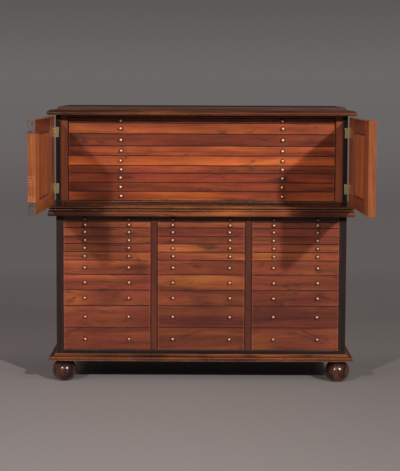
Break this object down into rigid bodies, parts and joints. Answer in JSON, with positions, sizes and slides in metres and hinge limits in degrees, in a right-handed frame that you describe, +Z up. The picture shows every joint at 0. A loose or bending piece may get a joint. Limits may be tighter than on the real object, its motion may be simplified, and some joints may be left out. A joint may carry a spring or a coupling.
{
  "type": "collectors cabinet",
  "caption": "Wooden collectors cabinet on bun feet: long shallow drawers behind a pair of doors, above three banks of graduated drawers with brass knobs.",
  "frame": {"origin": "on the floor, at the middle of the cabinet's footprint with its doors open as in the picture", "axes": "+X to the viewer's right along the drawers, +Y from the front to the back, +Z up"},
  "size_m": [1.2132, 1.1236, 1.065],
  "materials": {
    "drawer_wood": "polished red-brown mahogany",
    "door_wood": "polished mahogany, warm brown",
    "moulding_wood": "dark polished mahogany, worn on the arrises",
    "case_wood": "dark stained and polished",
    "foot_wood": "turned, dark high polish",
    "back_wood": "unpolished boards",
    "brass": "aged brass"
  },
  "bodies": {
    "carcass": {"cornice_top": "moulding_wood", "left_side": "case_wood", "right_side": "case_wood", "back_panel": "back_wood", "waist_board": "moulding_wood", "left_partition": "drawer_wood", "right_partition": "drawer_wood", "base_board": "moulding_wood", "front_left_foot": "foot_wood", "front_right_foot": "foot_wood", "back_left_foot": "foot_wood", "back_right_foot": "foot_wood", "left_lower_hinge": "brass", "left_upper_hinge": "brass", "right_lower_hinge": "brass", "right_upper_hinge": "brass"},
    "left_door": {"left_door": "door_wood"},
    "right_door": {"right_door": "door_wood"},
    "upper_drawer_1": {"upper_drawer_1": "drawer_wood"},
    "upper_drawer_2": {"upper_drawer_2": "drawer_wood"},
    "upper_drawer_3": {"upper_drawer_3": "drawer_wood"},
    "upper_drawer_4": {"upper_drawer_4": "drawer_wood"},
    "upper_drawer_5": {"upper_drawer_5": "drawer_wood"},
    "upper_drawer_6": {"upper_drawer_6": "drawer_wood"},
    "upper_drawer_7": {"upper_drawer_7": "drawer_wood"},
    "upper_drawer_8": {"upper_drawer_8": "drawer_wood"},
    "upper_drawer_9": {"upper_drawer_9": "drawer_wood"},
    "left_drawer_1": {"left_drawer_1": "drawer_wood"},
    "left_drawer_2": {"left_drawer_2": "drawer_wood"},
    "left_drawer_3": {"left_drawer_3": "drawer_wood"},
    "left_drawer_4": {"left_drawer_4": "drawer_wood"},
    "left_drawer_5": {"left_drawer_5": "drawer_wood"},
    "left_drawer_6": {"left_drawer_6": "drawer_wood"},
    "left_drawer_7": {"left_drawer_7": "drawer_wood"},
    "left_drawer_8": {"left_drawer_8": "drawer_wood"},
    "left_drawer_9": {"left_drawer_9": "drawer_wood"},
    "left_drawer_10": {"left_drawer_10": "drawer_wood"},
    "left_drawer_11": {"left_drawer_11": "drawer_wood"},
    "middle_drawer_1": {"middle_drawer_1": "drawer_wood"},
    "middle_drawer_2": {"middle_drawer_2": "drawer_wood"},
    "middle_drawer_3": {"middle_drawer_3": "drawer_wood"},
    "middle_drawer_4": {"middle_drawer_4": "drawer_wood"},
    "middle_drawer_5": {"middle_drawer_5": "drawer_wood"},
    "middle_drawer_6": {"middle_drawer_6": "drawer_wood"},
    "middle_drawer_7": {"middle_drawer_7": "drawer_wood"},
    "middle_drawer_8": {"middle_drawer_8": "drawer_wood"},
    "middle_drawer_9": {"middle_drawer_9": "drawer_wood"},
    "middle_drawer_10": {"middle_drawer_10": "drawer_wood"},
    "middle_drawer_11": {"middle_drawer_11": "drawer_wood"},
    "right_drawer_1": {"right_drawer_1": "drawer_wood"},
    "right_drawer_2": {"right_drawer_2": "drawer_wood"},
    "right_drawer_3": {"right_drawer_3": "drawer_wood"},
    "right_drawer_4": {"right_drawer_4": "drawer_wood"},
    "right_drawer_5": {"right_drawer_5": "drawer_wood"},
    "right_drawer_6": {"right_drawer_6": "drawer_wood"},
    "right_drawer_7": {"right_drawer_7": "drawer_wood"},
    "right_drawer_8": {"right_drawer_8": "drawer_wood"},
    "right_drawer_9": {"right_drawer_9": "drawer_wood"},
    "right_drawer_10": {"right_drawer_10": "drawer_wood"},
    "right_drawer_11": {"right_drawer_11": "drawer_wood"}
  },
  "joints": [
    {"name": "left_door_swing", "type": "hinge", "parent": "carcass", "child": "left_door", "pos_m": [-0.5634, 0.00033, 0.8595], "axis": [0, 0, -1], "range_deg": [-91.5, 88.5]},
    {"name": "right_door_swing", "type": "hinge", "parent": "carcass", "child": "right_door", "pos_m": [0.5634, 0.00033, 0.8595], "axis": [0, 0, 1], "range_deg": [-91.5, 88.5]},
    {"name": "upper_drawer_1_slide", "type": "slide", "parent": "carcass", "child": "upper_drawer_1", "axis": [0, -1, 0], "range_m": [0, 0.38]},
    {"name": "upper_drawer_2_slide", "type": "slide", "parent": "carcass", "child": "upper_drawer_2", "axis": [0, -1, 0], "range_m": [0, 0.38]},
    {"name": "upper_drawer_3_slide", "type": "slide", "parent": "carcass", "child": "upper_drawer_3", "axis": [0, -1, 0], "range_m": [0, 0.38]},
    {"name": "upper_drawer_4_slide", "type": "slide", "parent": "carcass", "child": "upper_drawer_4", "axis": [0, -1, 0], "range_m": [0, 0.38]},
    {"name": "upper_drawer_5_slide", "type": "slide", "parent": "carcass", "child": "upper_drawer_5", "axis": [0, -1, 0], "range_m": [0, 0.38]},
    {"name": "upper_drawer_6_slide", "type": "slide", "parent": "carcass", "child": "upper_drawer_6", "axis": [0, -1, 0], "range_m": [0, 0.38]},
    {"name": "upper_drawer_7_slide", "type": "slide", "parent": "carcass", "child": "upper_drawer_7", "axis": [0, -1, 0], "range_m": [0, 0.38]},
    {"name": "upper_drawer_8_slide", "type": "slide", "parent": "carcass", "child": "upper_drawer_8", "axis": [0, -1, 0], "range_m": [0, 0.38]},
    {"name": "upper_drawer_9_slide", "type": "slide", "parent": "carcass", "child": "upper_drawer_9", "axis": [0, -1, 0], "range_m": [0, 0.38]},
    {"name": "left_drawer_1_slide", "type": "slide", "parent": "carcass", "child": "left_drawer_1", "axis": [0, -1, 0], "range_m": [0, 0.38]},
    {"name": "left_drawer_2_slide", "type": "slide", "parent": "carcass", "child": "left_drawer_2", "axis": [0, -1, 0], "range_m": [0, 0.38]},
    {"name": "left_drawer_3_slide", "type": "slide", "parent": "carcass", "child": "left_drawer_3", "axis": [0, -1, 0], "range_m": [0, 0.38]},
    {"name": "left_drawer_4_slide", "type": "slide", "parent": "carcass", "child": "left_drawer_4", "axis": [0, -1, 0], "range_m": [0, 0.38]},
    {"name": "left_drawer_5_slide", "type": "slide", "parent": "carcass", "child": "left_drawer_5", "axis": [0, -1, 0], "range_m": [0, 0.38]},
    {"name": "left_drawer_6_slide", "type": "slide", "parent": "carcass", "child": "left_drawer_6", "axis": [0, -1, 0], "range_m": [0, 0.38]},
    {"name": "left_drawer_7_slide", "type": "slide", "parent": "carcass", "child": "left_drawer_7", "axis": [0, -1, 0], "range_m": [0, 0.38]},
    {"name": "left_drawer_8_slide", "type": "slide", "parent": "carcass", "child": "left_drawer_8", "axis": [0, -1, 0], "range_m": [0, 0.38]},
    {"name": "left_drawer_9_slide", "type": "slide", "parent": "carcass", "child": "left_drawer_9", "axis": [0, -1, 0], "range_m": [0, 0.38]},
    {"name": "left_drawer_10_slide", "type": "slide", "parent": "carcass", "child": "left_drawer_10", "axis": [0, -1, 0], "range_m": [0, 0.38]},
    {"name": "left_drawer_11_slide", "type": "slide", "parent": "carcass", "child": "left_drawer_11", "axis": [0, -1, 0], "range_m": [0, 0.38]},
    {"name": "middle_drawer_1_slide", "type": "slide", "parent": "carcass", "child": "middle_drawer_1", "axis": [0, -1, 0], "range_m": [0, 0.38]},
    {"name": "middle_drawer_2_slide", "type": "slide", "parent": "carcass", "child": "middle_drawer_2", "axis": [0, -1, 0], "range_m": [0, 0.38]},
    {"name": "middle_drawer_3_slide", "type": "slide", "parent": "carcass", "child": "middle_drawer_3", "axis": [0, -1, 0], "range_m": [0, 0.38]},
    {"name": "middle_drawer_4_slide", "type": "slide", "parent": "carcass", "child": "middle_drawer_4", "axis": [0, -1, 0], "range_m": [0, 0.38]},
    {"name": "middle_drawer_5_slide", "type": "slide", "parent": "carcass", "child": "middle_drawer_5", "axis": [0, -1, 0], "range_m": [0, 0.38]},
    {"name": "middle_drawer_6_slide", "type": "slide", "parent": "carcass", "child": "middle_drawer_6", "axis": [0, -1, 0], "range_m": [0, 0.38]},
    {"name": "middle_drawer_7_slide", "type": "slide", "parent": "carcass", "child": "middle_drawer_7", "axis": [0, -1, 0], "range_m": [0, 0.38]},
    {"name": "middle_drawer_8_slide", "type": "slide", "parent": "carcass", "child": "middle_drawer_8", "axis": [0, -1, 0], "range_m": [0, 0.38]},
    {"name": "middle_drawer_9_slide", "type": "slide", "parent": "carcass", "child": "middle_drawer_9", "axis": [0, -1, 0], "range_m": [0, 0.38]},
    {"name": "middle_drawer_10_slide", "type": "slide", "parent": "carcass", "child": "middle_drawer_10", "axis": [0, -1, 0], "range_m": [0, 0.38]},
    {"name": "middle_drawer_11_slide", "type": "slide", "parent": "carcass", "child": "middle_drawer_11", "axis": [0, -1, 0], "range_m": [0, 0.38]},
    {"name": "right_drawer_1_slide", "type": "slide", "parent": "carcass", "child": "right_drawer_1", "axis": [0, -1, 0], "range_m": [0, 0.38]},
    {"name": "right_drawer_2_slide", "type": "slide", "parent": "carcass", "child": "right_drawer_2", "axis": [0, -1, 0], "range_m": [0, 0.38]},
    {"name": "right_drawer_3_slide", "type": "slide", "parent": "carcass", "child": "right_drawer_3", "axis": [0, -1, 0], "range_m": [0, 0.38]},
    {"name": "right_drawer_4_slide", "type": "slide", "parent": "carcass", "child": "right_drawer_4", "axis": [0, -1, 0], "range_m": [0, 0.38]},
    {"name": "right_drawer_5_slide", "type": "slide", "parent": "carcass", "child": "right_drawer_5", "axis": [0, -1, 0], "range_m": [0, 0.38]},
    {"name": "right_drawer_6_slide", "type": "slide", "parent": "carcass", "child": "right_drawer_6", "axis": [0, -1, 0], "range_m": [0, 0.38]},
    {"name": "right_drawer_7_slide", "type": "slide", "parent": "carcass", "child": "right_drawer_7", "axis": [0, -1, 0], "range_m": [0, 0.38]},
    {"name": "right_drawer_8_slide", "type": "slide", "parent": "carcass", "child": "right_drawer_8", "axis": [0, -1, 0], "range_m": [0, 0.38]},
    {"name": "right_drawer_9_slide", "type": "slide", "parent": "carcass", "child": "right_drawer_9", "axis": [0, -1, 0], "range_m": [0, 0.38]},
    {"name": "right_drawer_10_slide", "type": "slide", "parent": "carcass", "child": "right_drawer_10", "axis": [0, -1, 0], "range_m": [0, 0.38]},
    {"name": "right_drawer_11_slide", "type": "slide", "parent": "carcass", "child": "right_drawer_11", "axis": [0, -1, 0], "range_m": [0, 0.38]}
  ]
}
